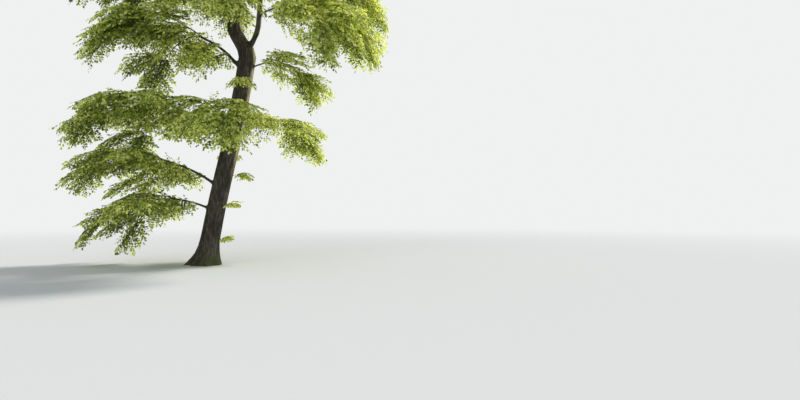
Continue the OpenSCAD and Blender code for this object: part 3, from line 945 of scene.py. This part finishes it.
def grow_spray(spray, wood, leaves, rng, sunlit):
    """Adds one spray with its layers."""
    count = 2 + round(spray["depth"] / LAYER_GAP)
    for k in range(count):
        down = k / (count - 1)
        turn = 0 if k == 0 else rng.uniform(*LAYER_TURN) * (-1) ** k
        line = spine_of(spray, turn, 1 if k == 0 else rng.uniform(*LAYER_LENGTH), mix(*LAYER_PLACE, down))
        radius = TWIG_RADIUS if k == 0 else LAYER_RADIUS
        grow_layer(line, radius, mix(*LAYER_LEAN, down), wood, leaves, rng, sunlit - LAYER_SHADE * down)


def grow_sprigs(line, spacing, wood, leaves, rng, sunlit):
    """Adds flat, drooping layers of leaves along a limb or an arm, to both sides."""
    shares, feet, ahead = spaced(line, SPRIG_SHARES, spacing)
    for k, share in enumerate(shares):
        level = unit(ahead[k] * (1, 1, 0))
        side = turned(level, (-1) ** k * rng.uniform(*SPRIG_ANGLES))
        rise = math.radians(rng.uniform(*SPRIG_RISES))
        out = math.cos(rise) * side + math.sin(rise) * UP
        reach = rng.uniform(*SPRIG_LENGTHS) * (1 - SPRIG_SHORTENING * share)
        end = feet[k] + reach * (side - rng.uniform(*SPRIG_FALL) * UP)
        grow_layer(bend(feet[k], out, end, SPINE_STEPS), LAYER_RADIUS, LAYER_LEAN[1],
                   wood, leaves, rng, sunlit - SPRIG_SHADE)


def grow_spurs(line, wood, leaves, rng, sunlit):
    """Adds short leafy spurs along a limb or an arm."""
    shares, feet, ahead = spaced(line, SPUR_SHARES, SPUR_SPACING)
    count = len(shares)
    across = unit(np.cross(ahead, UP)) * alternating(np.arange(count))[:, None]
    over = np.cross(ahead, across)
    over *= np.sign(over[:, 2:])
    roll = np.radians(rng.normal(0, SPUR_ROLL, count))[:, None]
    out = unit(SPUR_AHEAD * ahead + np.cos(roll) * across + np.sin(roll) * over)
    lengths = rng.uniform(*SPUR_LENGTHS, count)
    add_twigs(feet, out, lengths, shares, over, wood, leaves, rng, sunlit)


def sunlight_on(spray):
    """How much painted light a spray's leaves get, from its height and how near it hangs to the sunny side.
    """
    low, high = cad_box
    height = (spray["tip"][2] - low.z) / (high.z - low.z)
    side = (spray["tip"][0] - low.x) / (high.x - low.x)
    return SHADE_LIGHT + HEIGHT_LIGHT * height + SIDE_LIGHT * side


def build_limb(name, wood_corners, seed):
    """One limb with its arms, twigs, spurs and sprigs, and its leaf sprays."""
    rng = np.random.default_rng(seed)
    sprays = sprays_of(name + "_leaves")
    near = name in NEAR_LIMBS
    wood, leaves = Shell(), Shell(NEAR_LEAF if near else FAR_LEAF)
    sprig_spacing = NEAR_SPRIG_SPACING if near else FAR_SPRIG_SPACING
    branches = branches_of(name + "_limb", sprays, wood_corners, seed)
    sunlit = sunlight_on(sprays[0])
    for line, radii, sides in branches:
        add_tube(wood, line, radii, sides)
        grow_spurs(line, wood, leaves, rng, sunlit)
        grow_sprigs(line, sprig_spacing, wood, leaves, rng, sunlit)
    for spray in sprays:
        if not spray["at_tip"]:
            add_tube(wood, *twig_line(spray, branches), TWIG_SIDES)
        grow_spray(spray, wood, leaves, rng, sunlight_on(spray))
    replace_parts(wood.piece(name + "_branches", BARK, "limb_bark", True), name + "_limb")
    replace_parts(leaves.piece(name + "_foliage", LEAF, "leaves", False), name + "_leaves")


def build_shoots(sprays):
    """The small shoots on the trunk, with their sprays."""
    rng = np.random.default_rng(len(sprays))
    wood, leaves = Shell(), Shell(NEAR_LEAF)
    for spray in sprays:
        line = np.linspace(spray["base"] - SHOOT_STUB * spray["out"], spray["base"], TWIG_STEPS)
        add_tube(wood, line, tapered(TWIG_RADIUS, SHOOT_END_RADIUS, TWIG_STEPS), TWIG_SIDES)
        grow_spray(spray, wood, leaves, rng, SHOOT_LIGHT)
        for turn in SHOOT_TURNS:
            side = spine_of(spray, turn, SHOOT_REACH, 0)
            grow_layer(side, LAYER_RADIUS, SHOOT_LEAN, wood, leaves, rng, SHOOT_LIGHT)
    wood.piece("shoot_twigs", BARK, "limb_bark", True)
    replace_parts(leaves.piece("shoot_foliage", LEAF, "leaves", False), "shoot_leaves")


# Stage, light and camera

def seen_directly(tree):
    """1 for the camera's rays and for those that a mirror or clear glass would send, else 0."""
    path = tree.nodes.new("ShaderNodeLightPath")
    share = path.outputs["Is Camera Ray"]
    for ray in ("Is Glossy Ray", "Is Transmission Ray"):
        either = tree.nodes.new("ShaderNodeMath")
        either.operation = "MAXIMUM"
        tree.links.new(share, either.inputs[0])
        tree.links.new(path.outputs[ray], either.inputs[1])
        share = either.outputs[0]
    return share


def build_floor():
    """A plain floor that takes the tree's shadow and fades into the backdrop far from the tree."""
    mesh = bpy.data.meshes.new("floor")
    turn = [2 * math.pi * k / FLOOR_SIDES for k in range(FLOOR_SIDES)]
    rim = [(FLOOR_RADIUS * math.cos(a), FLOOR_RADIUS * math.sin(a), 0) for a in turn]
    mesh.from_pydata(rim, [], [range(FLOOR_SIDES)])
    floor = bpy.data.objects.new("floor", mesh)
    bpy.context.scene.collection.objects.link(floor)
    n = Nodes("floor")
    n.set(Base_Color=FLOOR_COLOUR, Roughness=1.0, Specular_IOR_Level=0.0)
    far = n.vector("LENGTH", n0=n.add("TexCoord").outputs["Object"]).outputs["Value"]
    shown = n.times(n.between(far, *FLOOR_FADE), seen_directly(n.tree))
    n.mix_in(shown, n.add("Emission", Color=BACKDROP, Strength=1.0))
    mesh.materials.append(n.material)


def build_sky():
    """A plain pale backdrop for the camera and mirror-like rays, and an even soft light for the rest."""
    world = bpy.data.worlds.new("studio")
    bpy.context.scene.world = world
    world.use_nodes = True
    tree = world.node_tree
    lit = tree.nodes["Background"]
    lit.inputs["Strength"].default_value = SKY_STRENGTH
    lit.inputs["Color"].default_value = (1, 1, 1, 1)
    shown = tree.nodes.new("ShaderNodeBackground")
    shown.inputs["Color"].default_value = BACKDROP
    mixer = tree.nodes.new("ShaderNodeMixShader")
    tree.links.new(seen_directly(tree), mixer.inputs[0])
    tree.links.new(lit.outputs[0], mixer.inputs[1])
    tree.links.new(shown.outputs[0], mixer.inputs[2])
    tree.links.new(mixer.outputs[0], tree.nodes["World Output"].inputs[0])


def build_sun(name, strength, softness, compass, height, colour):
    light = bpy.data.lights.new(name, "SUN")
    light.energy = strength
    light.angle = math.radians(softness)
    light.color = colour
    sun = bpy.data.objects.new(name, light)
    bpy.context.scene.collection.objects.link(sun)
    sun.rotation_euler = Vector(heading(compass, height)).to_track_quat("Z", "Y").to_euler()


def build_camera():
    data = bpy.data.cameras.new("camera")
    data.sensor_width = SENSOR_MM
    data.lens = SENSOR_MM * FOCAL_PIXELS / IMAGE_WIDTH
    data.clip_end = 4 * FLOOR_RADIUS
    camera = bpy.data.objects.new("camera", data)
    bpy.context.scene.collection.objects.link(camera)
    camera.location = CAMERA_PLACE
    tilt = math.atan((HORIZON_ROW - IMAGE_HEIGHT / 2) / FOCAL_PIXELS)
    camera.rotation_euler = (math.radians(90) + tilt, 0, 0)
    bpy.context.scene.camera = camera


BARK = limb_bark()
LEAF = leaf_green()
limb_names = [node.removesuffix("_limb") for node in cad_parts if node.endswith("_limb")]
wood_corners = np.concatenate([corners_of(node) for node in WOOD_NODES])
shoot_sprays = sprays_of("shoot_leaves")

build_trunk([Vector(spray["base"]) for spray in shoot_sprays])
for seed, name in enumerate(limb_names, 1):
    build_limb(name, wood_corners, seed)
build_shoots(shoot_sprays)

build_floor()
build_sky()
build_sun("sun", SUN_STRENGTH, SUN_SOFTNESS, SUN_COMPASS, SUN_HEIGHT, SUN_COLOUR)
build_sun("fill", FILL_STRENGTH, FILL_SOFTNESS, FILL_COMPASS, FILL_HEIGHT, FILL_COLOUR)
build_camera()
bpy.context.scene.view_settings.view_transform = "Standard"
